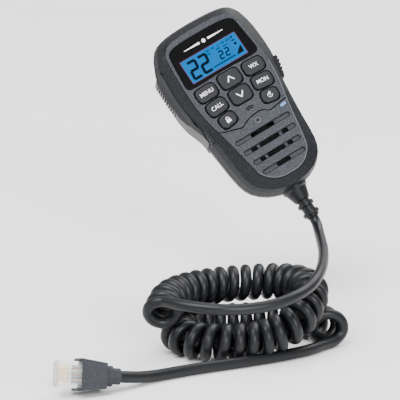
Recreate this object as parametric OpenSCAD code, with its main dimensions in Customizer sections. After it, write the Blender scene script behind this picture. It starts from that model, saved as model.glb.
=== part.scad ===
// Hand microphone with display and keypad, held up by its hang button,
// with its curly cord lying in a loose ring on the surface below it.
// Handset modules are drawn in the face frame: x right, z up along the face,
// and depth runs back from the face plate, which is at depth 0.

/* [Pose] */
// Lean of the handset back from upright, degrees
lean = 27; // [15:1:35]
// Roll of the handset in its own face plane, degrees
roll = 30.5; // [20:0.5:40]

/* [Case] */
// Wall thickness of both case halves
wall = 2; // [1.6:0.1:2.4]
// Depth of the case from face plate to back
case_depth = 27.75; // [27.75:0.25:28.25]
// Thickness of the face plate
plate_t = 2.2; // [1.8:0.1:2.3]
// Height of the slots in the speaker grille
slot_h = 2.2; // [1.4:0.1:2.6]

/* [Keys] */
// How far the key caps stand above the face plate
key_rise = 0.9; // [0.5:0.1:1.4]
// Gap around each key cap
key_gap = 0.35; // [0.25:0.05:0.45]
// Corner radius of the large keys
key_r = 2; // [1.2:0.1:2.4]

/* [Hang button] */
// Radius of the button head
hang_r = 8; // [7:0.5:9]
// Thickness of the button head
hang_t = 2.5; // [2:0.25:3]
// Radius of the button neck
neck_r = 4.5; // [4:0.25:5]

/* [Cord] */
// Diameter of the cord
cord_d = 5.5; // [5:0.1:5.8]
// Outer diameter of the curly cord
coil_d = 17.6; // [16:0.2:17.8]

/* [Plug] */
// Width of the modular plug
plug_w = 11.7; // [11.5:0.1:11.8]
// Thickness of the modular plug
plug_t = 6.5; // [6:0.1:6.6]
// Turn of the plug about the upright, degrees
plug_turn = 12; // [10:1:15]
// Dip of the plug's axis towards the cord, degrees
plug_tip = 8.5; // [7.5:0.5:8.5]
// Roll of the plug about its own axis, degrees
plug_roll = -18; // [-18:1:-12]

/* [Hidden] */
$fn = 48;

// Halves of each outline, from top centre to bottom centre, as [x, z]. The left half of the rim
// has a longer corner slope, above the talk lever.
rim_right = [
    [0, 57.5], [14, 57], [24, 55.3], [28.5, 51.5], [30.8, 46], [32.2, 38], [32.7, 26],
    [31.8, 14], [28.8, 2], [27, -10], [25.6, -22], [24.1, -35], [21.5, -43],
    [15, -49], [6.5, -52.2], [0, -52.7]
];
rim_left = [
    [0, 57.5], [12, 56.9], [21, 54.6], [25.6, 50.4], [28.6, 45], [31.2, 38], [32, 26],
    [31.5, 14], [29.4, 2], [27.9, -10], [26.9, -22], [25.4, -35], [22.1, -43],
    [15, -49], [6.5, -52.2], [0, -52.7]
];
brow_right = [
    [0, 54], [12, 53.6], [19.5, 52.2], [23.2, 49.3], [25.1, 44], [26.2, 37], [27.3, 24],
    [27, 14], [25.8, 3], [24.6, -10], [23.6, -22], [22.4, -36], [19.6, -43],
    [13.5, -48.5], [6, -51], [0, -51.5]
];
brow_left = [
    [0, 54], [11, 53.5], [18.2, 51.6], [22, 48.2], [24.3, 43.4], [25.6, 36.6], [26.8, 24],
    [27, 14], [26, 3], [25, -10], [24.2, -22], [23.1, -36], [20, -43],
    [13.5, -48.5], [6, -51], [0, -51.5]
];
edge = [
    [0, 50.4], [10, 50.1], [17.5, 49], [21.5, 46.3], [23.2, 42], [24, 34], [24.5, 24],
    [24.6, 12], [23.2, 0], [21.2, -9], [19.2, -19], [16.9, -32], [14.8, -39],
    [10, -43.8], [4.6, -45.8], [0, -46]
];
window = [
    [0, 46.8], [10, 46.6], [16.5, 45.9], [20.2, 44.2], [21.4, 41.5], [22, 36], [22.7, 29],
    [23.1, 24], [22.6, 21.9], [20.8, 20.9], [15, 20.7], [8, 21], [0, 21.2]
];

keypad = [
    // name index: x, z, width, height, turn
    [-15, 14.8, 12.6, 8.4, 2],
    [-14.5, 5.2, 12, 8.2, 5],
    [-13.4, -3.9, 10.2, 7.6, 8],
    [0.3, 15.2, 13, 9.4, 0],
    [0.3, 4.6, 12.6, 9.2, 0],
    [15.4, 14.8, 12.6, 8.4, -2],
    [15, 5.2, 12, 8.2, -5],
    [13.9, -3.9, 10.2, 7.6, -8]
];
// Slot rows in the grille: z, half width, list of [from, to] through openings.
grille = [
    [-17.8, 17.1, [[-7.7, 7.5]]],
    [-24.7, 16.2, [[-11.9, -8], [-6.5, 6.2], [7.8, 11.9]]],
    [-31.7, 14.7, [[-10.6, -7.2], [-5.8, 5.4], [7, 10.4]]],
    [-38.7, 13.2, [[-4.5, 4.3]]]
];
// Upper edge of the groove above the grille.
groove = [
    [-21.6, -7], [-19.6, -8.1], [-14.5, -9.7], [-9.4, -11.2], [-8.2, -11.1], [-5.6, -9.7],
    [-2.9, -8.7], [0.6, -8.1], [4.1, -7.9], [6.4, -8.7], [8.4, -10.2], [9.6, -10.8], [14.9, -9.9],
    [21, -8.9]
];
screw_at = [[-20.5, 45.5], [20.5, 45.5], [-16.5, -37.5], [16.5, -37.5]];
hinge = [-23.5, -6];

// Routes of the cord, in the part's own frame.
lead_route = [
    [41.5, -49, -54.5], [43.5, -50.5, -57.5], [45, -54, -61.2], [44.8, -62, -64], [43.8, -74, -65.2],
    [42, -90, -66.2], [38.8, -108, -66.6], [34.4, -127, -66.6], [29, -142, -68],
    [23.2, -150.5, -70.3], [15.6, -157.5, -72], [6, -162, -73.9], [-6.8, -164.5, -75],
    [-19, -164.5, -75], [-31, -161, -74.6], [-38, -156, -75], [-44, -150, -76]
];
coil_route = [
    [-45, -149, -81], [-42.5, -136, -78.6], [-34.5, -122.5, -78], [-19, -111, -78.2],
    [0, -106, -78.2], [17, -108, -77.4], [27, -118, -76.8], [28, -133, -78.5],
    [19, -146.5, -87], [5, -149.5, -94], [-8, -150, -95.5], [-21, -149.5, -95.5],
    [-32, -144, -95.5], [-36.5, -133, -95.5], [-31, -121.5, -95.5], [-12, -115.5, -95.7],
    [9, -114, -95.7], [24.5, -114, -95.5], [34.5, -120, -95.5], [38, -132, -95.5]
];
tail_route = [
    [40, -129, -101], [36, -138, -102.2], [21, -148, -102.2], [5, -155, -102.2],
    [-12, -161.2, -102.2], [-29, -167, -102.2], [-43, -172.8, -102.2], [-53, -177.8, -101.8],
    [-58.5, -181.2, -100.9], [-63, -184, -99.8], [-67.7, -186, -98.8], [-71.6, -186.9, -98.1]
];

// Catmull-Rom spline through a list of points, m steps to a span.
function ext(p) = concat([2 * p[0] - p[1]], p, [2 * p[len(p) - 1] - p[len(p) - 2]]);
function cr(a, b, c, d, t) =
    0.5 * (2 * b + (c - a) * t + (2 * a - 5 * b + 4 * c - d) * t * t
    + (3 * b - a - 3 * c + d) * t * t * t);
function curve(p, m) = let (q = ext(p)) concat(
    [for (i = [1 : len(q) - 3], k = [0 : m - 1]) cr(q[i - 1], q[i], q[i + 1], q[i + 2], k / m)],
    [p[len(p) - 1]]);
// Full outline from a right half and, where it differs, a left half.
function whole(h, m = 2, l = []) = let (c = curve(h, m), d = l == [] ? c : curve(l, m)) concat(
    c, [for (i = [len(d) - 2 : -1 : 1]) [-d[i][0], d[i][1]]]);
function rim() = whole(rim_right, l = rim_left);
function brow() = whole(brow_right, l = brow_left);
// Outline drawn in by t at the sides and at top and bottom.
function inset(o, t) = [for (p = o) [p[0] * (1 - t / 29), 2 + (p[1] - 2) * (1 - t / 54)]];
function blend(a, b, t) = [for (i = [0 : len(a) - 1]) a[i] * (1 - t) + b[i] * t];
function unit(v) = v / norm(v);

// From the face frame to the part's frame: the hang button's head is at the origin.
module place() {
    rotate([-lean, 0, 0]) rotate([0, -roll, 0]) translate([0, -case_depth - 5.25, -15]) children();
}

// Extrudes a flat outline in the face plane between two depths.
module slab(d0, d1) {
    translate([0, d1, 0]) rotate([90, 0, 0]) linear_extrude(d1 - d0) children();
}

// Solid through a list of [outline, depth] rings, closed by a fan at each end.
module loft(rings) {
    n = len(rings[0][0]);
    top = len(rings) - 1;
    pts = concat([for (r = rings) for (p = r[0]) [p[0], r[1], p[1]]],
        [[0, rings[0][1], 0], [0, rings[top][1], 0]]);
    sides = [for (k = [0 : top - 1], i = [0 : n - 1]) let (j = (i + 1) % n)
        each [[k * n + i, (k + 1) * n + j, k * n + j], [k * n + i, (k + 1) * n + i, (k + 1) * n + j]]];
    caps = [for (i = [0 : n - 1]) let (j = (i + 1) % n)
        each [[(top + 1) * n, i, j], [(top + 1) * n + 1, top * n + j, top * n + i]]];
    polyhedron(pts, concat(sides, caps));
}

// Tube of radius r swept along points, with n sides.
module sweep(p, r, n) {
    last = len(p) - 1;
    dir = [for (i = [0 : last]) unit(p[min(i + 1, last)] - p[max(i - 1, 0)])];
    side = [for (d = dir) unit(cross(d, [0.08, 0.12, 1]))];
    pts = [for (i = [0 : last]) let (u = side[i], v = cross(dir[i], u))
        for (k = [0 : n - 1]) p[i] + r * (cos(360 * k / n) * u + sin(360 * k / n) * v)];
    sides = [for (i = [0 : last - 1], k = [0 : n - 1]) let (j = (k + 1) % n)
        each [[i * n + k, (i + 1) * n + j, i * n + j], [i * n + k, (i + 1) * n + k, (i + 1) * n + j]]];
    start = [for (k = [0 : n - 1]) k];
    end = [for (k = [n - 1 : -1 : 0]) last * n + k];
    polyhedron(pts, concat([start], sides, [end]));
}

// Rectangle with round corners, in the face plane.
module rounded(w, h, r) {
    square([w - 2 * r, h], center = true);
    square([w, h - 2 * r], center = true);
    for (sx = [-1, 1], sz = [-1, 1]) translate([sx * (w / 2 - r), sz * (h / 2 - r)]) circle(r);
}

// Outline of the status lamp's lens, grown by g.
module lamp_shape(g) {
    translate([17.1, -11.9]) rotate(8) rounded(3.6 + 2 * g, 1.7 + 2 * g, 0.8 + g);
}

// Disc standing on the face plane.
module disc(x, z, r, d0, d1) {
    translate([x, d1, z]) rotate([90, 0, 0]) cylinder(r = r, h = d1 - d0);
}

module box(x0, x1, d0, d1, z0, z1) {
    translate([x0, d0, z0]) cube([x1 - x0, d1 - d0, z1 - z0]);
}

module key_shape(k, grow) {
    translate([k[0], k[1]]) rotate(k[4]) rounded(k[2] + 2 * grow, k[3] + 2 * grow, key_r + grow);
}

// Bar that the side lever fills, and its hub, grown by g.
module lever_room(g) {
    box(-40, -26.1, 6.8 - g, 19.5 + g, -8.4 - g, 39 + g);
    box(-27, -20.6, 6.9 - g, 18.1 + g, -9.3, -2.7);
    box(-27, -24.9, 6.4, 19.3, -1.1, 38.7);
}

module gland_cut() {
    translate([0, 14, -60]) cylinder(r = 4.1, h = 15);
    translate([0, 14, -60]) cylinder(r = 7.5, h = 8.5);
}

module grip_room(g) {
    slab(7 - g, 17 + g)
        polygon([[29.2 - g, 15.6 + g], [34, 15.6 + g], [34, 2.8 - g], [26.8 - g, 2.8 - g]]);
}

module front_shell() {
    color([0.2, 0.22, 0.24]) place() difference() {
        union() {
            difference() {
                loft([[whole(edge), 0.5], [brow(), 3], [blend(brow(), rim(), 0.6), 7],
                    [rim(), 12]]);
                loft([[inset(brow(), wall), 4.4], [inset(blend(brow(), rim(), 0.55), wall), 7],
                    [inset(rim(), wall), 12.5]]);
            }
            for (s = screw_at) disc(s[0], s[1], 3, 4, 12);
            box(-27.2, -20.4, 3.4, 6.5, -10, -2);
        }
        slab(-1, plate_t + 0.2) polygon(inset(whole(edge), -0.2));
        slab(-1, 6) polygon(inset(whole(edge), 1.4));
        for (s = screw_at) disc(s[0], s[1], 1.35, 5, 13);
        lever_room(0.4);
        grip_room(0.1);
        gland_cut();
        disc(hinge[0], hinge[1], 1.03, 4, 8);
    }
}

module rear_shell() {
    w = rim();
    color([0.33, 0.35, 0.38]) place() difference() {
        union() {
            difference() {
                loft([[w, 12.6], [inset(w, 0.4), 17], [inset(w, 2.2), 21.5], [inset(w, 6), 25],
                    [inset(w, 11), 27.2], [inset(w, 14), case_depth]]);
                loft([[inset(w, wall), 12], [inset(w, wall + 0.4), 16.5], [inset(w, wall + 2.6), 20.5],
                    [inset(w, wall + 6.5), 23.6], [inset(w, wall + 12), 25.4]]);
            }
            for (s = screw_at) disc(s[0], s[1], 3.6, 12.6, 23);
            disc(0, 15, 7, 20, 26);
            box(-27.2, -20.4, 18.5, 21.5, -10, -2);
        }
        for (s = screw_at) {
            disc(s[0], s[1], 1.6, 12, 20);
            disc(s[0], s[1], 2.8, 19, 28);
        }
        disc(0, 15, 1.5, 19, 28);
        lever_room(0.4);
        grip_room(0.1);
        gland_cut();
        disc(hinge[0], hinge[1], 1.03, 17, 20.9);
    }
}

module shell_gasket() {
    color([0.08, 0.08, 0.09]) place() difference() {
        slab(12.05, 12.55) difference() {
            polygon(inset(rim(), 0.3));
            polygon(inset(rim(), 1.7));
        }
        for (s = screw_at) disc(s[0], s[1], 4, 11, 14);
        lever_room(0.5);
        grip_room(0.2);
        gland_cut();
    }
}

module face_plate() {
    color([0.36, 0.39, 0.43]) place() difference() {
        slab(0, plate_t) polygon(inset(whole(edge), 0.1));
        slab(-1, 1.5) polygon([for (p = whole(window, 3)) [p[0] * 1.006, 33.8 + (p[1] - 33.8) * 1.012]]);
        box(-18.8, 18.8, -1, 3, 22.4, 37.8);
        for (k = keypad) slab(-1, 3) key_shape(k, key_gap);
        for (g = grille) {
            for (s = g[2]) translate([0, 0, g[0]]) slab(-1, 3)
                translate([(s[0] + s[1]) / 2, 0]) rounded(s[1] - s[0], slot_h, 0.9);
            translate([0, 0, g[0]]) slab(-1, 0.7) rounded(2 * g[1], slot_h, 0.9);
        }
        slab(-1, 3) lamp_shape(0.1);
        disc(0.4, -12.3, 0.6, -1, 3);
        slab(-1, 0.3) {
            polygon(concat(groove, [for (i = [len(groove) - 1 : -1 : 0]) groove[i] - [0, 0.65]]));
        }
    }
}

module display_window() {
    color([0.03, 0.03, 0.04]) place() slab(-0.2, 1.4) polygon(whole(window, 3));
}

module lcd_frame() {
    color([0.85, 0.86, 0.84]) place() difference() {
        box(-20.6, 20.6, 2.5, 6.6, 20.9, 40.4);
        box(-19.7, 19.7, 2, 8, 21.6, 39.8);
    }
}

module lcd_glass() {
    color([0.1, 0.7, 0.95]) place() box(-19.6, 19.6, 2.6, 4.4, 21.7, 38.6);
}

module lcd_backlight() {
    color([0.2, 0.75, 1]) place() box(-19.4, 19.4, 4.5, 6.3, 21.8, 38.4);
}

module lcd_connector() {
    color([0.7, 0.72, 0.7]) place() box(-17, 17, 3, 6.95, 38.7, 39.7);
}

// Cap, neck and retaining flange of one key.
module key(i) {
    k = keypad[i];
    color([0.26, 0.28, 0.31]) place() {
        slab(-key_rise, 2.5) key_shape(k, 0);
        slab(2.45, 3.4) key_shape(k, 0.5);
    }
}

module key_menu() { key(0); }
module key_call() { key(1); }
module key_lock() { key(2); }
module key_up() { key(3); }
module key_down() { key(4); }
module key_weather() { key(5); }
module key_monitor() { key(6); }
module key_scan() { key(7); }

module keypad_mat() {
    color([0.75, 0.75, 0.72]) place() {
        slab(4.5, 5.3)
            polygon([[-20.8, 20], [20.8, 20], [20.8, 4], [18.6, -8.4], [-18.6, -8.4], [-20.8, 4]]);
        for (k = keypad) disc(k[0], k[1], 2.2, 5.2, 6.1);
    }
}

module dome_switches() {
    color([0.8, 0.8, 0.78]) place() for (k = keypad) disc(k[0], k[1], 2.6, 6.2, 6.95);
}

module main_board() {
    color([0.08, 0.35, 0.2]) place() difference() {
        box(-21.4, 21.4, 7, 8.6, -15.8, 41.6);
        box(-22, -18.8, 6, 10, -12, -1);
        disc(-18.5, 38.7, 1.2, 6, 10);
        disc(18.5, 38.7, 1.2, 6, 10);
    }
}

module board_chips() {
    color([0.05, 0.05, 0.06]) place() {
        box(-6, 6, 8.65, 10.2, 22, 34);
        box(-15, -9, 8.65, 10, 24, 33);
        box(9, 16, 8.65, 10, 4, 9);
        box(-12, -4, 8.65, 9.8, 2, 7);
        disc(14, 30, 3, 8.65, 13);
    }
}

module cord_header() {
    color([0.9, 0.88, 0.8]) place() difference() {
        box(-8, 8, 8.65, 13, -14.5, -9);
        for (i = [0 : 7]) box(-6.6 + 1.8 * i - 0.5, -6.6 + 1.8 * i + 0.5, 9.6, 12, -15, -11);
    }
}

module status_light() {
    color([0.75, 0.85, 1]) place() {
        slab(-0.35, 2.6) lamp_shape(0);
        disc(17.1, -11.9, 1.7, 2.5, 6.9);
    }
}

module speaker_felt() {
    color([0.05, 0.05, 0.05]) place() disc(0, -29.5, 12.6, 2.4, 2.9);
}

module speaker_frame() {
    color([0.6, 0.6, 0.58]) place() translate([0, 3, -29.5]) rotate([-90, 0, 0]) rotate_extrude()
        polygon([[12.6, 0], [11, 0], [11, 1], [6.4, 4.2], [6.4, 5], [7.4, 5], [12.6, 1.6]]);
}

module speaker_cone() {
    color([0.15, 0.15, 0.16]) place() translate([0, 3, -29.5]) rotate([-90, 0, 0]) rotate_extrude()
        polygon([[0, 1.2], [3.4, 2], [10.8, 0.2], [10.8, 0.6], [3.4, 2.5], [3.4, 5.6], [3, 5.6],
            [3, 2.5], [0, 1.7]]);
}

module speaker_magnet() {
    color([0.3, 0.3, 0.32]) place() difference() {
        disc(0, -29.5, 7.4, 8.05, 14);
        disc(0, -29.5, 4, 8, 12);
    }
}

module mic_capsule() {
    color([0.75, 0.75, 0.75]) place() disc(0.4, -12.3, 2.4, 3, 5.6);
}

module mic_boot() {
    color([0.06, 0.06, 0.06]) place() difference() {
        disc(0.4, -12.3, 3.3, 2.5, 6.2);
        disc(0.4, -12.3, 2.45, 2.95, 6.3);
        disc(0.4, -12.3, 0.8, 2, 4);
    }
}

module ptt_lever() {
    color([0.13, 0.14, 0.15]) place() difference() {
        union() {
            intersection() {
                slab(6.8, 19.5) polygon([[-28.7, 39], [-31, 39], [-32.8, 37], [-33.4, 34], [-33.6, 24],
                    [-33.2, 13], [-32, 7], [-30, 1.5], [-28.3, -3.4], [-27.6, -8.4], [-26.4, -8.4],
                    [-26.4, -3], [-27.6, 1], [-28.7, 5]]);
                translate([0, 0, -10]) linear_extrude(50)
                    polygon([[-26, 6.8], [-31.2, 6.8], [-33.6, 9.5], [-33.6, 16.5], [-31.2, 19.5],
                        [-26, 19.5]]);
            }
            box(-27.4, -23.5, 7, 18, -8.4, -3.6);
            disc(hinge[0], hinge[1], 2.4, 7, 18);
        }
        disc(hinge[0], hinge[1], 1.06, 6, 19);
        for (i = [0 : 10]) box(-34, -32.9, 4, 21, 15.4 + 2 * i, 16.3 + 2 * i);
    }
}

module ptt_pin() {
    color("silver") place() disc(hinge[0], hinge[1], 1, 4.2, 20.6);
}

module ptt_seal() {
    color([0.05, 0.05, 0.06]) place() difference() {
        box(-25.9, -25.1, 6.5, 19.2, -1, 38.6);
        for (i = [0 : 6]) box(-26.5, -25.6, 8, 17, 4 + 4.6 * i, 5.2 + 4.6 * i);
    }
}

module ptt_switch() {
    color([0.1, 0.1, 0.1]) place() {
        box(-24.2, -21.8, 9, 15, 16, 28);
        translate([-25, 12, 22]) rotate([0, 90, 0]) cylinder(r = 1.2, h = 1);
    }
}

module side_grip() {
    color([0.06, 0.06, 0.07]) place() difference() {
        slab(7, 17)
            polygon([[29.3, 15.6], [31.9, 15.6], [32.3, 13.8], [31.2, 8.6], [29.3, 2.8], [27, 2.8]]);
        for (i = [0 : 3]) box(30 + 0.45 * i, 34, 6, 18, 6 + 2.3 * i, 6.9 + 2.3 * i);
    }
}

module case_screws() {
    color("dimgray") place() for (s = screw_at) difference() {
        union() {
            disc(s[0], s[1], 1.3, 5.6, 20.2);
            disc(s[0], s[1], 2.5, 20.1, 22);
        }
        box(s[0] - 1.5, s[0] + 1.5, 21.2, 23, s[1] - 0.35, s[1] + 0.35);
        box(s[0] - 0.35, s[0] + 0.35, 21.2, 23, s[1] - 1.5, s[1] + 1.5);
    }
}

// Head and neck; the head is centred on the origin of the part.
module hang_button() {
    color("darkgray") rotate([-lean, 0, 0]) rotate([0, -roll, 0]) rotate([-90, 0, 0]) difference() {
        union() {
            translate([0, 0, -hang_t / 2]) cylinder(r = hang_r, h = hang_t);
            translate([0, 0, -5.15]) cylinder(r = neck_r, h = 5);
        }
        translate([0, 0, -6]) cylinder(r = 1.7, h = 10);
        translate([0, 0, hang_t / 2 - 1.6]) cylinder(r = 3.4, h = 3);
    }
}

module hang_screw() {
    color("silver") rotate([-lean, 0, 0]) rotate([0, -roll, 0]) rotate([-90, 0, 0]) difference() {
        union() {
            translate([0, 0, -12.5]) cylinder(r = 1.45, h = 12.6);
            translate([0, 0, hang_t / 2 - 1.55]) cylinder(r = 3.2, h = 1.5);
        }
        translate([0, 0, hang_t / 2]) cube([3.6, 0.8, 1.6], center = true);
        translate([0, 0, hang_t / 2]) cube([0.8, 3.6, 1.6], center = true);
    }
}

module strain_relief() {
    color([0.1, 0.11, 0.12]) place() translate([0, 14, 0]) difference() {
        rotate_extrude() polygon([
            [0, -45.4], [5.6, -45.4], [5.6, -46.9], [4, -46.9], [4, -51.6], [7.3, -51.6], [7.3, -53.2],
            [6.4, -54], [4.4, -60.2], [3.5, -60.6], [3.5, -62], [4.7, -62.3], [4.7, -64.2], [3.5, -64.5],
            [3.5, -67.4], [4.7, -67.7], [4.7, -69.6], [3.6, -70], [3.6, -71], [0, -71]]);
        translate([0, 0, -72]) cylinder(r = cord_d / 2 + 0.05, h = 5);
    }
}

module cord_clamp() {
    color([0.7, 0.7, 0.68]) place() difference() {
        box(-6.5, 6.5, 14.4, 21, -44.9, -42.4);
        translate([0, 14.4, -46]) cylinder(r = 2.9, h = 5);
    }
}

module cord_lead() {
    color([0.12, 0.13, 0.14]) sweep(curve(lead_route, 2), cord_d / 2, 10);
}

module cord_coil() {
    color([0.12, 0.13, 0.14]) sweep(curve(coil_route, 2), coil_d / 2, 12);
}

module cord_tail() {
    color([0.12, 0.13, 0.14]) sweep(curve(tail_route, 2), cord_d / 2, 10);
}

// Plug frame: x runs from the nose back to the cord, the wide faces look along y.
module at_plug() {
    translate([-96.7, -192.2, -94.3]) rotate([0, 0, plug_turn]) rotate([plug_roll, plug_tip, 0])
        children();
}

module plug_boot() {
    color([0.11, 0.12, 0.13]) at_plug() difference() {
        union() {
            translate([0, 5.5, 0]) rotate([90, 0, 0]) linear_extrude(11)
                polygon([[10, 7], [10.8, 7.35], [22.6, 5.8], [22.9, 5.4], [22.9, -5.4], [22.6, -5.8],
                    [10.3, -7.35], [9.4, -7], [9.4, -6.1], [11.6, -6], [11.6, 6], [10, 6.1]]);
            translate([22.8, 0, 0]) rotate([0, 90, 0]) cylinder(r = 4.65, h = 3.4);
            translate([26.1, 0, 0]) rotate([0, 90, 0]) cylinder(r = 3.7, h = 3.9);
        }
        translate([11, -4.2, -5.95]) cube([4.6, 8.4, 11.9]);
        translate([11, -plug_t / 2 - 0.05, -plug_w / 2 - 0.05]) cube([9, plug_t + 0.1, plug_w + 0.1]);
        translate([26, 0, 0]) rotate([0, 90, 0]) cylinder(r = cord_d / 2 + 0.02, h = 5);
    }
}

module plug_body() {
    color([0.85, 0.9, 0.92]) at_plug() difference() {
        union() {
            translate([0.8, -plug_t / 2, -plug_w / 2]) cube([19, plug_t, plug_w]);
            translate([0, -plug_t / 2 + 1.4, -plug_w / 2 + 0.8]) cube([1, plug_t - 1.6, plug_w - 1.6]);
            for (z = [-4.3, 3.2]) translate([0.9, plug_t / 2 - 0.1, z]) cube([1.5, 1.6, 1.1]);
        }
        for (i = [-3.5 : 3.5]) translate([-1, -plug_t / 2 - 1, 1.02 * i - 0.32]) cube([6.6, 3.6, 0.64]);
        translate([1.6, plug_t / 2 + 0.75, -6]) cylinder(r = 0.45, h = 12);
        translate([7, -1.3, -4.4]) cube([14, 1.6, 8.8]);
    }
}

module plug_contacts() {
    color([0.85, 0.7, 0.3]) at_plug() for (i = [-3.5 : 3.5])
        translate([0.9, -plug_t / 2 + 0.4, 1.02 * i - 0.2]) cube([4.4, 2.1, 0.4]);
}

module plug_wires() {
    color([0.2, 0.5, 0.35]) at_plug() for (i = [-3.5 : 3.5])
        translate([7.2, -0.5, 1.02 * i]) rotate([0, 90, 0]) cylinder(r = 0.45, h = 12, $fn = 16);
}

module plug_latch() {
    color([0.85, 0.9, 0.92]) at_plug() translate([1.6, plug_t / 2 + 0.75, 0]) rotate([0, 0, 12]) {
        translate([0, 0, -4.2]) cylinder(r = 0.4, h = 8.4);
        translate([0, -0.5, -3]) cube([6, 1, 6]);
        translate([5.9, -0.5, -1.6]) cube([3.8, 1, 3.2]);
    }
}

front_shell();
rear_shell();
shell_gasket();
face_plate();
display_window();
lcd_frame();
lcd_glass();
lcd_backlight();
lcd_connector();
key_menu();
key_call();
key_lock();
key_up();
key_down();
key_weather();
key_monitor();
key_scan();
keypad_mat();
dome_switches();
main_board();
board_chips();
cord_header();
status_light();
speaker_felt();
speaker_frame();
speaker_cone();
speaker_magnet();
mic_capsule();
mic_boot();
ptt_lever();
ptt_pin();
ptt_seal();
ptt_switch();
side_grip();
case_screws();
hang_button();
hang_screw();
strain_relief();
cord_clamp();
cord_lead();
cord_coil();
cord_tail();
plug_boot();
plug_body();
plug_contacts();
plug_wires();
plug_latch();
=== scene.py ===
import math
import random

import bpy
import bmesh
from mathutils import Matrix, Vector


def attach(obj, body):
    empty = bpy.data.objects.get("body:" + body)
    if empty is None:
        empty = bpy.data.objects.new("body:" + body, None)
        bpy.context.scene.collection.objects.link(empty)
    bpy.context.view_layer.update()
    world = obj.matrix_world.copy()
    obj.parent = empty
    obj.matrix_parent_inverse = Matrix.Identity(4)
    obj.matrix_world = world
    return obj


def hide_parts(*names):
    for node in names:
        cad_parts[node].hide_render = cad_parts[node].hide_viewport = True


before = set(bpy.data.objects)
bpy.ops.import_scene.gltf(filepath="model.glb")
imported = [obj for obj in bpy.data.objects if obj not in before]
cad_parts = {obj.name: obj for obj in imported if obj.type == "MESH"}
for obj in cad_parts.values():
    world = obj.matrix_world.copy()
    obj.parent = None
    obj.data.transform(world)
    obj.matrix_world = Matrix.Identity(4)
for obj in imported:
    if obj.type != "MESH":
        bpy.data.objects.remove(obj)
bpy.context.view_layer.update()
random.seed(7)
MM = 0.001

# ---------------------------------------------------------------- frames
LEAN, ROLL = math.radians(-27), math.radians(-30.5)
TURN = Matrix.Rotation(LEAN, 3, "X") @ Matrix.Rotation(ROLL, 3, "Y")
BUTTON_D, BUTTON_Z = 33.0, 15.0  # where the hang button's head is in the face frame, in mm


def on_face(x, d, z):
    """Face frame in mm (x right, d back from the face plate, z up) to the row frame in metres."""
    return (TURN @ Vector((x, d - BUTTON_D, z - BUTTON_Z))) * MM


# ---------------------------------------------------------------- camera
AZ, EL = math.radians(-5.5), math.radians(12.0)
CAMERA_AT = (-0.0925, -0.8228, 0.1179)
SENSOR_MM, LENS_MM, FAR_END = 36.0, 133.2, 20
c_right = Vector((math.cos(AZ), math.sin(AZ), 0))
c_up = Vector((-math.sin(AZ) * math.sin(EL), math.cos(AZ) * math.sin(EL), math.cos(EL)))
c_back = Vector((math.sin(AZ) * math.cos(EL), -math.cos(AZ) * math.cos(EL), math.sin(EL)))
cam_data = bpy.data.cameras.new("camera")
cam = bpy.data.objects.new("camera", cam_data)
bpy.context.scene.collection.objects.link(cam)
cam_data.sensor_width = SENSOR_MM
cam_data.lens = LENS_MM
cam_data.clip_end = FAR_END
pose = Matrix((c_right, c_up, c_back)).transposed().to_4x4()
pose.translation = Vector(CAMERA_AT)
cam.matrix_world = pose
bpy.context.scene.camera = cam


# ---------------------------------------------------------------- helpers
def link(obj, body="case"):
    bpy.context.scene.collection.objects.link(obj)
    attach(obj, body)
    return obj


def mesh_object(name, verts, faces, mat, smooth=True):
    me = bpy.data.meshes.new(name)
    me.from_pydata([tuple(v) for v in verts], [], faces)
    me.update()
    me.polygons.foreach_set("use_smooth", [smooth] * len(me.polygons))
    me.materials.append(mat)
    return bpy.data.objects.new(name, me)


def spline(pts, m):
    """Catmull-Rom through pts, m steps to a span."""
    p = [Vector(q) for q in pts]
    p = [2 * p[0] - p[1]] + p + [2 * p[-1] - p[-2]]
    out = []
    for i in range(1, len(p) - 2):
        a, b, c, d = p[i - 1 : i + 3]
        for k in range(m):
            t = k / m
            out.append(0.5 * (2 * b + (c - a) * t + (2 * a - 5 * b + 4 * c - d) * t * t
                              + (3 * b - a - 3 * c + d) * t * t * t))
    out.append(p[-2])
    return out


def length(pts):
    return sum((b - a).length for a, b in zip(pts, pts[1:]))


def resample(pts, n):
    """The line through pts again, as n points at equal distances."""
    total, out, walked, k = length(pts), [pts[0]], 0.0, 0
    for i in range(1, n - 1):
        want = total * i / (n - 1)
        while walked + (pts[k + 1] - pts[k]).length < want:
            walked += (pts[k + 1] - pts[k]).length
            k += 1
        seg = (pts[k + 1] - pts[k]).length
        out.append(pts[k].lerp(pts[k + 1], (want - walked) / seg))
    out.append(pts[-1])
    return out


# ---------------------------------------------------------------- materials
def material(name, base, rough=0.5, spec=0.5, metal=0.0, coat=0.0):
    m = bpy.data.materials.new(name)
    m.use_nodes = True
    b = m.node_tree.nodes["Principled BSDF"]
    b.inputs["Base Color"].default_value = (*base, 1)
    b.inputs["Roughness"].default_value = rough
    b.inputs["Specular IOR Level"].default_value = spec
    b.inputs["Metallic"].default_value = metal
    b.inputs["Coat Weight"].default_value = coat
    return m


def noise(m, scale, detail, rough=0.6):
    nt = m.node_tree
    co = nt.nodes.get("coords") or nt.nodes.new("ShaderNodeTexCoord")
    co.name = "coords"
    n = nt.nodes.new("ShaderNodeTexNoise")
    n.inputs["Scale"].default_value = scale
    n.inputs["Detail"].default_value = detail
    n.inputs["Roughness"].default_value = rough
    nt.links.new(co.outputs["Object"], n.inputs["Vector"])
    return n.outputs[0]


def ramp(m, src, stops):
    """Colour ramp over a source; each stop is (position, colour)."""
    r = m.node_tree.nodes.new("ShaderNodeValToRGB")
    els = r.color_ramp.elements
    for e, (pos, col) in zip(els, stops):
        e.position = pos
        e.color = (*col, 1)
    m.node_tree.links.new(src, r.inputs["Fac"])
    return r.outputs["Color"]


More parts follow.
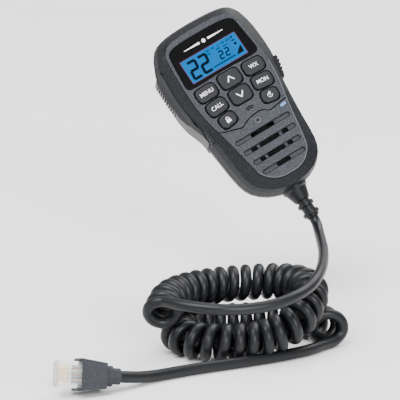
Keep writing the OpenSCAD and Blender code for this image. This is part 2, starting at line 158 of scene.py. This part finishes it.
def mix(m, fac, src, tone):
    """One colour source mixed by a factor source with a plain tone."""
    n = m.node_tree.nodes.new("ShaderNodeMix")
    n.data_type = "RGBA"
    m.node_tree.links.new(fac, n.inputs["Factor"])
    m.node_tree.links.new(src, n.inputs[6])
    n.inputs[7].default_value = (*tone, 1)
    return n.outputs[2]


def bump(m, *layers):
    """Adds bump layers, each (source, strength, distance in metres)."""
    nt = m.node_tree
    b = nt.nodes["Principled BSDF"]
    last = None
    for src, strength, dist in layers:
        n = nt.nodes.new("ShaderNodeBump")
        n.inputs["Strength"].default_value = strength
        n.inputs["Distance"].default_value = dist
        nt.links.new(src, n.inputs["Height"])
        if last:
            nt.links.new(last, n.inputs["Normal"])
        last = n.outputs["Normal"]
    nt.links.new(last, b.inputs["Normal"])


def colour(m, out):
    m.node_tree.links.new(out, m.node_tree.nodes["Principled BSDF"].inputs["Base Color"])


def roughness(m, src, low, high):
    nt = m.node_tree
    r = nt.nodes.new("ShaderNodeMapRange")
    r.inputs["To Min"].default_value = low
    r.inputs["To Max"].default_value = high
    nt.links.new(src, r.inputs["Value"])
    nt.links.new(r.outputs["Result"], nt.nodes["Principled BSDF"].inputs["Roughness"])


def moulded(name, dark, light, rough, grain, depth, speckle=None, spec=0.5):
    """Textured moulded plastic: cloudy tone, fine grain in colour, and a fine grain bump."""
    m = material(name, dark, rough, spec=spec)
    cloud = noise(m, 60, 4)
    fine = noise(m, grain, 2, 0.7)
    col = ramp(m, cloud, [(0.3, dark), (0.7, light)])
    if speckle:
        dots = ramp(m, fine, [(0.52, (0, 0, 0)), (0.66, (1, 1, 1))])
        col = mix(m, dots, col, speckle)
    colour(m, col)
    roughness(m, cloud, rough - 0.06, rough + 0.08)
    bump(m, (fine, 0.5, depth))
    return m


M = {}
M["shell"] = moulded("shell_front", (0.0045, 0.005, 0.0066), (0.0075, 0.0083, 0.0105), 0.5, 1300,
                     0.00009, speckle=(0.02, 0.0215, 0.0265), spec=0.2)
M["rear"] = moulded("shell_rear", (0.02, 0.021, 0.024), (0.028, 0.029, 0.033), 0.52, 1300, 0.00009,
                    spec=0.25)
M["plate"] = moulded("face_plate", (0.024, 0.0263, 0.0325), (0.032, 0.035, 0.0425), 0.5, 1700, 0.00012,
                     speckle=(0.078, 0.083, 0.098), spec=0.2)
M["keys"] = moulded("key_rubber", (0.0085, 0.0093, 0.0118), (0.0115, 0.0126, 0.0155), 0.5, 2400, 0.00003,
                    speckle=(0.018, 0.02, 0.025), spec=0.25)
# This near-black is painted shade in the bands round the keys, the grille's slots and the groove, and the
# dark print of the chevron marks.
M["gap"] = moulded("gap_black", (0.0012, 0.0012, 0.0015), (0.002, 0.002, 0.0025), 0.9, 2400, 0.00003,
                   spec=0.0)
# The lighter plate-edge colour is a painted highlight, laid on the plate's rim and on the ring round the
# microphone hole.
M["rim"] = moulded("plate_edge_painted_highlight", (0.085, 0.09, 0.105), (0.12, 0.126, 0.145), 0.42, 1700, 0.00004,
                   spec=0.5)
M["rubber"] = moulded("seal_rubber", (0.004, 0.004, 0.005), (0.007, 0.007, 0.008), 0.6, 2200, 0.00004,
                      spec=0.2)
M["lever"] = moulded("lever_plastic", (0.007, 0.0075, 0.009), (0.011, 0.012, 0.0145), 0.4, 2000,
                     0.00005, spec=0.35)
M["cord"] = moulded("cord_rubber", (0.0035, 0.004, 0.0052), (0.0056, 0.0064, 0.0084), 0.38, 2600,
                    0.00002, spec=0.3)
M["boot"] = moulded("boot_rubber", (0.022, 0.024, 0.0295), (0.029, 0.0315, 0.0375), 0.52, 1500, 0.00009,
                    speckle=(0.04, 0.043, 0.05), spec=0.2)


def printed(name, colour_value, rough, spread, scale=700, spec=0.2):
    """Thin ink or lacquer: one colour, with a gloss that varies a little."""
    m = material(name, colour_value, rough, spec=spec)
    roughness(m, noise(m, scale, 2), rough - spread, rough + spread)
    return m


M["window"] = printed("window_black", (0.0015, 0.0015, 0.002), 0.24, 0.04, 90, 0.12)
M["white"] = printed("legend_white", (0.86, 0.86, 0.87), 0.5, 0.1, 900, 0.5)
M["ink"] = printed("lcd_ink", (0.001, 0.002, 0.003), 0.35, 0.08, spec=0.05)
M["faint"] = printed("lcd_faint_ink", (0.001, 0.012, 0.03), 0.35, 0.08, spec=0.05)
M["line"] = printed("lcd_surround", (0.09, 0.008, 0.006), 0.4, 0.08, spec=0.1)


LCD_GLOW = 0.78


def lcd_material():
    m = material("lcd_blue", (0.0, 0.004, 0.012), 0.9, spec=0.0)
    b = m.node_tree.nodes["Principled BSDF"]
    cloud = noise(m, 300, 3)
    glow = ramp(m, cloud, [(0.35, (0.0, 0.31, 0.92)), (0.65, (0.0, 0.345, 1.0))])
    m.node_tree.links.new(glow, b.inputs["Emission Color"])
    b.inputs["Emission Strength"].default_value = LCD_GLOW
    bump(m, (noise(m, 3200, 1), 0.1, 0.00001))
    return m


M["lcd"] = lcd_material()
M["lens"] = material("lamp_lens", (0.2, 0.32, 0.55), 0.2, spec=0.4)
colour(M["lens"], ramp(M["lens"], noise(M["lens"], 700, 2),
                       [(0.3, (0.08, 0.16, 0.32)), (0.7, (0.18, 0.3, 0.5))]))


def clear_plastic():
    m = material("plug_clear", (0.95, 0.97, 0.98), 0.08, coat=0.2)
    b = m.node_tree.nodes["Principled BSDF"]
    b.inputs["Transmission Weight"].default_value = 0.82
    b.inputs["IOR"].default_value = 1.45
    cloud = noise(m, 400, 3)
    colour(m, ramp(m, cloud, [(0.3, (0.93, 0.95, 0.97)), (0.7, (0.98, 0.99, 1.0))]))
    roughness(m, cloud, 0.05, 0.12)
    bump(m, (noise(m, 900, 2), 0.3, 0.00005))
    return m


M["clear"] = clear_plastic()


def metal(name, dark, light, rough, scale=900):
    """Bare metal with a slightly uneven tone and gloss."""
    m = material(name, dark, rough, metal=1.0)
    n = noise(m, scale, 4, 0.7)
    colour(m, ramp(m, n, [(0.3, dark), (0.7, light)]))
    roughness(m, n, rough - 0.05, rough + 0.15)
    bump(m, (n, 0.15, 0.00002))
    return m


M["steel"] = metal("steel", (0.5, 0.5, 0.49), (0.62, 0.62, 0.6), 0.3)
M["button"] = metal("hang_metal", (0.42, 0.42, 0.43), (0.56, 0.56, 0.57), 0.3, 600)
M["gold"] = metal("contact_gold", (0.7, 0.48, 0.16), (0.85, 0.6, 0.22), 0.25)
M["board"] = moulded("board_green", (0.01, 0.09, 0.04), (0.015, 0.12, 0.055), 0.4, 900, 0.00004)
M["chip"] = moulded("chip_black", (0.012, 0.012, 0.013), (0.02, 0.02, 0.022), 0.5, 1500, 0.00003)
M["pale"] = moulded("pale_plastic", (0.6, 0.59, 0.56), (0.68, 0.67, 0.64), 0.5, 1200, 0.00003)
M["mat"] = moulded("mat_silicone", (0.5, 0.5, 0.48), (0.58, 0.58, 0.55), 0.55, 1200, 0.00003)
M["felt"] = moulded("felt_black", (0.006, 0.006, 0.007), (0.014, 0.014, 0.015), 0.95, 3500, 0.0002,
                    spec=0.1)
M["cone"] = moulded("cone_paper", (0.02, 0.02, 0.022), (0.035, 0.035, 0.037), 0.8, 2500, 0.0001,
                    spec=0.2)

finish = {
    "shell": ["front_shell"], "rear": ["rear_shell"], "plate": ["face_plate"],
    "window": ["display_window"],
    "rubber": ["shell_gasket", "side_grip", "ptt_seal", "mic_boot"], "lever": ["ptt_lever"],
    "lcd": ["lcd_glass", "lcd_backlight"], "pale": ["lcd_frame", "cord_header", "cord_clamp"],
    "mat": ["keypad_mat", "lcd_connector"], "board": ["main_board"], "chip": ["board_chips", "ptt_switch"],
    "lens": ["status_light"], "felt": ["speaker_felt"], "cone": ["speaker_cone"],
    "steel": ["speaker_frame", "mic_capsule", "ptt_pin", "case_screws", "hang_screw", "dome_switches",
              "speaker_magnet"],
    "button": ["hang_button"], "cord": ["strain_relief"], "boot": ["plug_boot"],
    "clear": ["plug_body", "plug_latch"], "gold": ["plug_contacts"],
}
for key, nodes in finish.items():
    for n in nodes:
        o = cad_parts[n]
        o.data.materials.clear()
        o.data.materials.append(M[key])

# ---------------------------------------------------------------- cord
lead_route = [
    (41.5, -49, -54.5), (43.5, -50.5, -57.5), (45, -54, -61.2), (44.8, -62, -64), (43.8, -74, -65.2),
    (42, -90, -66.2), (38.8, -108, -66.6), (34.4, -127, -66.6), (29, -142, -68),
    (23.2, -150.5, -70.3), (15.6, -157.5, -72), (6, -162, -73.9), (-6.8, -164.5, -75),
    (-19, -164.5, -75), (-30, -161.2, -74.6), (-38, -156.6, -74.4),
]
coil_route = [
    (-45, -149, -81), (-42.5, -136, -78.6), (-34.5, -122.5, -78), (-19, -111, -78.2),
    (0, -106, -78.2), (17, -108, -77.4), (27, -118, -76.8), (28, -133, -78.5),
    (19, -146.5, -87), (5, -149.5, -94), (-8, -150, -95.5), (-21, -149.5, -95.5),
    (-32, -144, -95.5), (-36.5, -133, -95.5), (-31, -121.5, -95.5), (-12, -115.5, -95.7),
    (9, -114, -95.7), (24.5, -114, -95.5), (34.5, -120, -95.5), (38, -132, -95.5),
]
tail_route = [
    (39, -133.4, -102.3), (33, -138.4, -102.2), (26.4, -144.2, -102.2), (18, -149.2, -102.2),
    (5, -155, -102.2), (-12, -161.2, -102.2), (-29, -167, -102.2),
    (-43, -172.8, -102.2), (-53, -177.8, -101.8), (-58.5, -181.2, -100.9), (-63, -184, -99.8),
    (-67.7, -186, -98.8), (-71.6, -186.9, -98.1),
]
CORD_R, WIND_R, TURNS = 2.75, 6.55, 43.38
END_GROWTH, END_TURNS = 1.7, 1.2  # the end turns open this much wider in mm, over this many turns
COIL_STEPS, COIL_POINTS, END_STEPS = 30, 1500, 8
axis = resample(spline(coil_route, COIL_STEPS), COIL_POINTS)
wind, last = [], len(axis) - 1
for i, p in enumerate(axis):
    t = (axis[min(i + 1, last)] - axis[max(i - 1, 0)]).normalized()
    up = (Vector((0, 0, 1)) - t * t.z).normalized()
    side = up.cross(t)
    turn = TURNS * i / last
    a = 2 * math.pi * turn
    near_end = max(0.0, 1 - min(turn, TURNS - turn) / END_TURNS)
    wide = WIND_R + END_GROWTH * near_end ** 2
    wind.append(p + WIND_R * math.cos(a) * up + wide * math.sin(a) * side)

# The straight ends run smoothly into the winding: two of its points guide each spline.
lead = spline(lead_route + [tuple(wind[0]), tuple(wind[4])], END_STEPS)[: -END_STEPS - 1]
tail = spline([tuple(wind[-5]), tuple(wind[-1])] + tail_route, END_STEPS)[END_STEPS + 1 :]
line = [p * MM for p in lead + wind + tail]


def tube(name, pts, radius, resolution, mat):
    """Round tube along pts, given in metres."""
    cu = bpy.data.curves.new(name, "CURVE")
    cu.dimensions = "3D"
    cu.bevel_depth = radius
    cu.bevel_resolution = resolution
    cu.use_fill_caps = True
    path = cu.splines.new("POLY")
    path.use_smooth = True
    path.points.add(len(pts) - 1)
    for q, p in zip(path.points, pts):
        q.co = (*p, 1)
    cu.materials.append(mat)
    return link(bpy.data.objects.new(name, cu), "case")


cord = tube("cord", line, CORD_R * MM, 5, M["cord"])
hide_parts("cord_lead", "cord_coil", "cord_tail")

# ---------------------------------------------------------------- plug wires
PLUG = Matrix.Translation((-96.7, -192.2, -94.3)) @ Matrix.Rotation(math.radians(12), 4, "Z") \
    @ Matrix.Rotation(math.radians(8.5), 4, "Y") @ Matrix.Rotation(math.radians(-18), 4, "X")
wire_colours = [(0.02, 0.09, 0.35), (0.75, 0.35, 0.02), (0.02, 0.02, 0.02), (0.5, 0.02, 0.02),
                (0.02, 0.3, 0.06), (0.75, 0.65, 0.05), (0.2, 0.08, 0.02), (0.35, 0.36, 0.38)]
CONTACT_PITCH, WIRE_R, WIRE_START, WIRE_STEP = 1.02, 0.43, 7.3, 0.8
for i, col in enumerate(wire_colours):
    light = tuple(min(1, c * 1.25 + 0.01) for c in col)
    m = moulded("wire_%d" % i, col, light, 0.35, 1200, 0.00002)
    z = CONTACT_PITCH * (i - 3.5)
    pts = []
    for k in range(15):
        x = WIRE_START + WIRE_STEP * k
        sway = Vector((0, 0.12 * math.sin(x * 0.7 + i), 0.1 * math.sin(x * 0.9 + 2 * i)))
        pts.append((PLUG @ (Vector((x, -0.5, z)) + sway)) * MM)
    tube("plug_wire_%d" % (i + 1), pts, WIRE_R * MM, 3, m)
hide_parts("plug_wires")

# ---------------------------------------------------------------- outlines of the face
edge_half = [(0, 50.4), (10, 50.1), (17.5, 49), (21.5, 46.3), (23.2, 42), (24, 34), (24.5, 24),
             (24.6, 12), (23.2, 0), (21.2, -9), (19.2, -19), (16.9, -32), (14.8, -39),
             (10, -43.8), (4.6, -45.8), (0, -46)]


def whole(half, m):
    """Both halves of an outline, smoothed, from the points (x, z) of its right half."""
    c = [(p.x, p.y) for p in spline([(x, z, 0) for x, z in half], m)]
    return c + [(-x, z) for x, z in reversed(c[1:-1])]


def loops(name, rings, mat, body):
    """Closed rings of (x, depth, z) in the face frame, skinned, with the last one capped."""
    n = len(rings[0])
    verts = [on_face(*p) for r in rings for p in r]
    faces = [(k * n + i, k * n + (i + 1) % n, (k + 1) * n + (i + 1) % n, (k + 1) * n + i)
             for k in range(len(rings) - 1) for i in range(n)]
    faces.append([(len(rings) - 1) * n + i for i in range(n)])
    o = mesh_object(name, verts, faces, mat)
    bm = bmesh.new()
    bm.from_mesh(o.data)
    bmesh.ops.recalc_face_normals(bm, faces=bm.faces)
    bm.to_mesh(o.data)
    bm.free()
    return link(o, body)


def ring_tube(name, outline, depth, r, closed=True):
    """Raised rim of radius r along an outline of (x, z), closed on itself or open with flat ends, in the
    lighter colour that paints a highlight on it.
    """
    n = 8
    pts = [Vector((x, depth, z)) for x, z in outline]
    m = len(pts)
    rings = []
    for i, p in enumerate(pts):
        before, after = pts[i - 1], pts[(i + 1) % m]
        if not closed:
            before, after = pts[max(i - 1, 0)], pts[min(i + 1, m - 1)]
        t = (after - before).normalized()
        out = t.cross(Vector((0, 1, 0)))
        rings.append([p + r * (math.cos(a) * out + math.sin(a) * Vector((0, 1, 0)))
                      for a in [2 * math.pi * k / n for k in range(n)]])
    verts = [on_face(*q) for ring in rings for q in ring]
    faces = [(i * n + k, i * n + (k + 1) % n, ((i + 1) % m) * n + (k + 1) % n, ((i + 1) % m) * n + k)
             for i in range(m if closed else m - 1) for k in range(n)]
    if not closed:
        faces += [tuple(range(n)), tuple((m - 1) * n + k for k in range(n - 1, -1, -1))]
    return link(mesh_object(name, verts, faces, M["rim"]), "case")


# The plate's rim is drawn only along the right side and the bottom of the plate, in a lighter colour: a
# painted highlight where light catches the edge. The shaded left side and top get none.
rim_line = [(x * 0.993, 2 + (z - 2) * 0.996) for x, z in whole(edge_half, 6)
            if (x > 0 and z < 16) or z < -36]
ring_tube("plate_rim", rim_line, 0.02, 0.2, closed=False)


# ---------------------------------------------------------------- keys
def rounded(w, h, r):
    """Outline of a rectangle about 0, 0 with round corners."""
    out, n = [], 7
    for cx, cz, a0 in ((w / 2 - r, h / 2 - r, 0), (-w / 2 + r, h / 2 - r, 90),
                       (-w / 2 + r, -h / 2 + r, 180), (w / 2 - r, -h / 2 + r, 270)):
        for k in range(n):
            a = math.radians(a0 + 90 * k / (n - 1))
            out.append((cx + r * math.cos(a), cz + r * math.sin(a)))
    return out


# Each key: x, z, width and height in mm, and its turn in degrees.
KEYS = {
    "key_menu": (-15, 14.8, 12.6, 8.4, 2), "key_call": (-14.5, 5.2, 12, 8.2, 5),
    "key_lock": (-13.4, -3.9, 10.2, 7.6, 8), "key_up": (0.3, 15.2, 13, 9.4, 0),
    "key_down": (0.3, 4.6, 12.6, 9.2, 0), "key_weather": (15.4, 14.8, 12.6, 8.4, -2),
    "key_monitor": (15, 5.2, 12, 8.2, -5), "key_scan": (13.9, -3.9, 10.2, 7.6, -8),
}
RISE = 0.9


def corner_of(k):
    return 2.9 if k[3] > 7.9 else 3.1


def key_local(k, x, z):
    """A point about the key's own centre, in the face frame."""
    a = math.radians(k[4])
    return k[0] + x * math.cos(a) - z * math.sin(a), k[1] + x * math.sin(a) + z * math.cos(a)


def key_cap(name):
    k = KEYS[name]
    rings = []
    for inset, depth in ((0, 2.5), (0, 0.25), (0.05, -0.3), (0.22, -0.62), (0.5, -0.82), (0.95, -RISE),
                         (2, -RISE + 0.03), (3.1, -RISE + 0.06)):
        r = max(corner_of(k) - inset * 0.8, 0.5)
        shape = [key_local(k, *q) for q in rounded(k[2] - 2 * inset, k[3] - 2 * inset, r)]
        rings.append([(x, depth, z) for x, z in shape])
    o = loops(name + "_cap_skin", rings, M["keys"], name + "_cap")
    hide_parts(name)


for name in KEYS:
    key_cap(name)


# ---------------------------------------------------------------- legends
def strokes(name, lines, width, k, mat, body, depth):
    """Flat strokes on a key: each line is a list of (x, z) about the key's centre."""
    verts, faces = [], []
    for pts in lines:
        for start, stop in zip(pts, pts[1:]):
            a, b = Vector((*start, 0)), Vector((*stop, 0))
            t = (b - a).normalized()
            s = Vector((-t.y, t.x, 0)) * width / 2
            e = t * width * 0.35
            base = len(verts)
            for q in (a - e + s, b + e + s, b + e - s, a - e - s):
                x, z = key_local(k, q.x, q.y)
                verts.append(on_face(x, depth, z))
            faces.append((base, base + 1, base + 2, base + 3))
    o = mesh_object(name, verts, faces, mat, smooth=False)
    return link(o, body)


def word(name, text, size, k, depth, mat, body, fat, wide):
    """Flat lettering at a key's centre, made a little bolder and narrower than the font."""
    cu = bpy.data.curves.new(name, "FONT")
    cu.body = text
    cu.size = size * MM
    cu.align_x = "CENTER"
    cu.align_y = "CENTER"
    cu.extrude = 0.03 * MM
    cu.offset = fat * MM
    cu.resolution_u = 4
    tmp = bpy.data.objects.new(name + "_t", cu)
    bpy.context.scene.collection.objects.link(tmp)
    dg = bpy.context.evaluated_depsgraph_get()
    me = bpy.data.meshes.new_from_object(tmp.evaluated_get(dg))
    bpy.data.objects.remove(tmp)
    bpy.data.curves.remove(cu)
    for v in me.vertices:
        x, z = key_local(k, v.co.x / MM * wide, v.co.y / MM)
        v.co = on_face(x, depth - v.co.z / MM, z)
    me.materials.clear()
    me.materials.append(mat)
    for p in me.polygons:
        p.use_smooth = False
    me.name = name
    return link(bpy.data.objects.new(name, me), body)


TOP = -RISE + 0.02
WORDS = {"key_menu": "MENU", "key_call": "CALL", "key_weather": "WX", "key_monitor": "MON"}
for name, text in WORDS.items():
    word("legend_" + name[4:], text, 3.3, KEYS[name], TOP, M["white"], name + "_cap", 0.015, 0.92)


def sign(name, key, lines, width, depth=TOP):
    """A white sign of plain strokes on one key's top."""
    strokes(name, lines, width, KEYS[key], M["white"], key + "_cap", depth)


sign("legend_up", "key_up", [[(-1.9, -1.3), (0, 1.5), (1.9, -1.3)]], 0.62)
sign("legend_down", "key_down", [[(-1.9, 1.3), (0, -1.5), (1.9, 1.3)]], 0.62)
shackle = [(-0.75, -0.1), (-0.75, 0.9), (-0.35, 1.4), (0.35, 1.4), (0.75, 0.9), (0.75, -0.1)]
sign("legend_lock", "key_lock", [[(-1.2, -0.7), (1.2, -0.7)], shackle], 0.42)
sign("legend_lock_body", "key_lock", [[(-0.75, -0.75), (0.75, -0.75)]], 1.7, TOP + 0.004)
arc = [(1.25 * math.cos(math.radians(a)), 1.25 * math.sin(math.radians(a))) for a in range(60, 361, 20)]
arrow = [(0.1, 1.9), (0.75, 1.1), (0.0, 0.6)]
sign("legend_scan", "key_scan", [arc, arrow, [(-0.1, -0.1), (0.25, 0.25)]], 0.42)

# ---------------------------------------------------------------- display
LCD = (-18.2, 17.1, 22.9, 36.8)
PANEL_D = -0.26


def flat(name, pts, depth, mat):
    """One flat face through pts of (x, z)."""
    verts = [on_face(x, depth, z) for x, z in pts]
    return link(mesh_object(name, verts, [list(range(len(verts)))], mat, False))


def rectangle(x0, x1, z0, z1):
    return [(x0, z0), (x1, z0), (x1, z1), (x0, z1)]


BORDER = 0.28
flat("lcd_panel", rectangle(*LCD), PANEL_D, M["lcd"])
border = rectangle(LCD[0] - BORDER, LCD[1] + BORDER, LCD[2] - BORDER, LCD[3] + BORDER)
flat("lcd_border", border, PANEL_D + 0.02, M["line"])
ON_PLATE = (0, 0, 0, 0, 0)  # stands in for a key where strokes are given in the face frame itself
INK_D = PANEL_D - 0.02


def digit(x, z, w, h):
    """Seven-segment strokes of a 2, lower left corner at x, z."""
    slant, g = 0.11, 0.1

    def at(u, v):
        return x + u * w + slant * v * h, z + v * h

    return [[at(g, 1), at(1 - g, 1)], [at(1, 1 - g * 0.6), at(1, 0.5 + g * 0.6)],
            [at(g, 0.5), at(1 - g, 0.5)],
            [at(0, 0.5 - g * 0.6), at(0, g * 0.6)], [at(g, 0), at(1 - g, 0)]]


def lcd_strokes(name, lines, width, mat):
    strokes(name, lines, width, ON_PLATE, mat, "case", INK_D)


lcd_strokes("lcd_big", digit(-16.0, 24.7, 4.5, 9.7) + digit(-9.2, 24.7, 4.5, 9.7), 1.5, M["ink"])
lcd_strokes("lcd_small", digit(2.7, 27.0, 2.1, 4.3) + digit(6.5, 27.0, 2.1, 4.3), 0.72, M["ink"])
bar_steps = [-3.1 + 1.02 * i for i in range(14)]
lcd_strokes("lcd_bar", [[(x, 25.1), (x + 0.1, 25.1)] for x in bar_steps], 0.85, M["ink"])
specks = []
for x, z, n in ((-2.4, 34.8, 3), (0.8, 34.8, 3), (4.5, 34.7, 2), (7.2, 34.7, 3), (10.4, 34.8, 4),
                (-2.6, 32.9, 3), (3.5, 33.0, 3), (7.6, 32.8, 4)):
    for i in range(n):
        dx = x + 0.72 * i
        specks.append([(dx, z - 0.3), (dx + 0.18, z - 0.3 + 0.5 * random.random())])
        if random.random() < 0.7:
            specks.append([(dx - 0.05, z + 0.35), (dx + 0.3, z + 0.35)])
lcd_strokes("lcd_specks", specks, 0.34, M["faint"])
icons = [[(13.7, 35.1), (14.4, 35.1)], [(13.9, 34.7), (14.2, 35.5)], [(13.3, 33.1), (14.7, 33.1)],
         [(13.5, 31.1), (14.7, 31.1)], [(13.7, 30.6), (14.5, 30.6)], [(14.1, 30.2), (14.1, 31.4)]]
lcd_strokes("lcd_icons", icons, 0.55, M["ink"])
flat("lcd_wedge", [(11.4, 24.7), (15.9, 24.7), (16.1, 29.0), (13.5, 26.8)], INK_D, M["ink"])


def circle(x, z, r):
    """Outline of a circle, as 24 points."""
    turns = [2 * math.pi * i / 24 for i in range(24)]
    return [(x + r * math.cos(a), z + r * math.sin(a)) for a in turns]


# Plain ornament over the display: a centre dot between two long tapering bars.
ORNAMENT_Z, ORNAMENT_D = 41.2, -0.3
bar_shape = ((2.6, -0.62), (2.6, 0.62), (12.6, 0.16), (12.6, -0.16))
for name, side in (("left", -1), ("right", 1)):
    bar = [(side * x, ORNAMENT_Z + z) for x, z in bar_shape]
    flat("window_bar_" + name, bar, ORNAMENT_D, M["white"])
flat("window_dot", circle(0, ORNAMENT_Z, 1.15), ORNAMENT_D, M["white"])


# Painted shade: flat black bands round each key, round the grille's slots, and in the groove over the
# grille, where the gaps and recesses fall into shadow.
def band(name, inner, outer, depth):
    """Flat band of painted shade between two closed outlines with the same number of points."""
    n = len(inner)
    verts = [on_face(x, depth, z) for x, z in inner + outer]
    faces = [(i, (i + 1) % n, n + (i + 1) % n, n + i) for i in range(n)]
    return link(mesh_object(name, verts, faces, M["gap"], False))


# Each key's band of painted shade reaches this far beyond the key's edge.
KEY_SHADE_WIDTH = 0.55
for name, k in KEYS.items():
    corner = corner_of(k)
    inner = rounded(k[2] - 0.1, k[3] - 0.1, corner)
    outer = rounded(k[2] + 2 * KEY_SHADE_WIDTH, k[3] + 2 * KEY_SHADE_WIDTH, corner + KEY_SHADE_WIDTH)
    band(name + "_gap", [key_local(k, *q) for q in inner], [key_local(k, *q) for q in outer], -0.03)

SLOT_ROWS = [(-17.8, 17.1), (-24.7, 16.2), (-31.7, 14.7), (-38.7, 13.2)]
SLOT_H, SLOT_R, SLOT_SHADE_WIDTH = 2.2, 0.9, 0.32
# Each slot gets a black band of painted shade round its edge, where the recess falls dark.
for i, (z, half) in enumerate(SLOT_ROWS):
    sizes = ((half, SLOT_H, SLOT_R), (half + SLOT_SHADE_WIDTH, SLOT_H + 2 * SLOT_SHADE_WIDTH, SLOT_R + SLOT_SHADE_WIDTH))
    inner, outer = ([(x, z + dz) for x, dz in rounded(2 * w, h, r)] for w, h, r in sizes)
    band("slot_painted_shade_%d" % (i + 1), inner, outer, -0.02)

groove = [(-21.6, -7), (-19.6, -8.1), (-14.5, -9.7), (-9.4, -11.2), (-8.2, -11.1), (-5.6, -9.7),
          (-2.9, -8.7), (0.6, -8.1), (4.1, -7.9), (6.4, -8.7), (8.4, -10.2), (9.6, -10.8), (14.9, -9.9),
          (21, -8.9)]
GROOVE_D, GROOVE_EDGES = 0.14, (0.04, 0.61)  # its depth, and its edges below the list's line
# A black strip of painted shade lies inside the groove, where the recess would fall into shadow.
groove_verts = [on_face(x, GROOVE_D, z - dz) for dz in GROOVE_EDGES for x, z in groove]
groove_faces = [(i, i + 1, len(groove) + i + 1, len(groove) + i) for i in range(len(groove) - 1)]
link(mesh_object("groove_painted_shade", groove_verts, groove_faces, M["gap"], False))

# Small raised marks on the plate: a plain pair of dark chevrons, and a ring round the microphone hole in
# the lighter painted-highlight colour of the plate's rim.
chevrons = [[(-1.9, -4.3), (0.5, -3.1), (2.9, -4.3)], [(-1.1, -5.0), (0.5, -4.2), (2.1, -5.0)]]
strokes("mark_chevrons", chevrons, 0.5, ON_PLATE, M["gap"], "case", -0.03)
ring_tube("mic_ring", circle(0.4, -12.3, 1.5), 0.0, 0.22)

# ---------------------------------------------------------------- floor and light
FLOOR_Z, FLOOR_HALF = -0.105, 4
fl = bpy.data.meshes.new("floor")
corners = ((-1, -1), (1, -1), (1, 1), (-1, 1))
fl.from_pydata([(x * FLOOR_HALF, y * FLOOR_HALF, FLOOR_Z) for x, y in corners], [], [(0, 1, 2, 3)])
m = material("floor", (0.93, 0.93, 0.93), 0.9, spec=0.1)
colour(m, ramp(m, noise(m, 3, 2), [(0.3, (0.92, 0.92, 0.92)), (0.7, (0.95, 0.95, 0.95))]))
fl.materials.append(m)
floor = bpy.data.objects.new("floor", fl)
bpy.context.scene.collection.objects.link(floor)


def lamp(name, kind, at, aim, power):
    """A light at one place that points at another."""
    ld = bpy.data.lights.new(name, kind)
    ld.energy = power
    o = bpy.data.objects.new(name, ld)
    o.location = at
    o.rotation_euler = (Vector(aim) - Vector(at)).to_track_quat("-Z", "Y").to_euler()
    bpy.context.scene.collection.objects.link(o)
    return ld


def area(name, at, size, power):
    ld = lamp(name, "AREA", at, (0, -0.08, -0.04), power)
    ld.shape = "RECTANGLE"
    ld.size, ld.size_y = size


def sun(name, at, strength, spread):
    lamp(name, "SUN", at, (0, 0, 0), strength).angle = math.radians(spread)


sun("key_sun", (-0.7, -0.6, 1.6), 4.0, 40)
sun("back_sun", (0.8, 0.9, 1.5), 2.4, 50)
area("front_box", (0.35, -1.6, 0.7), (0.5, 0.7), 22)
world = bpy.data.worlds.new("studio")
bpy.context.scene.world = world
world.use_nodes = True
background = world.node_tree.nodes["Background"]
background.inputs["Color"].default_value = (1, 1, 1, 1)
background.inputs["Strength"].default_value = 0.75
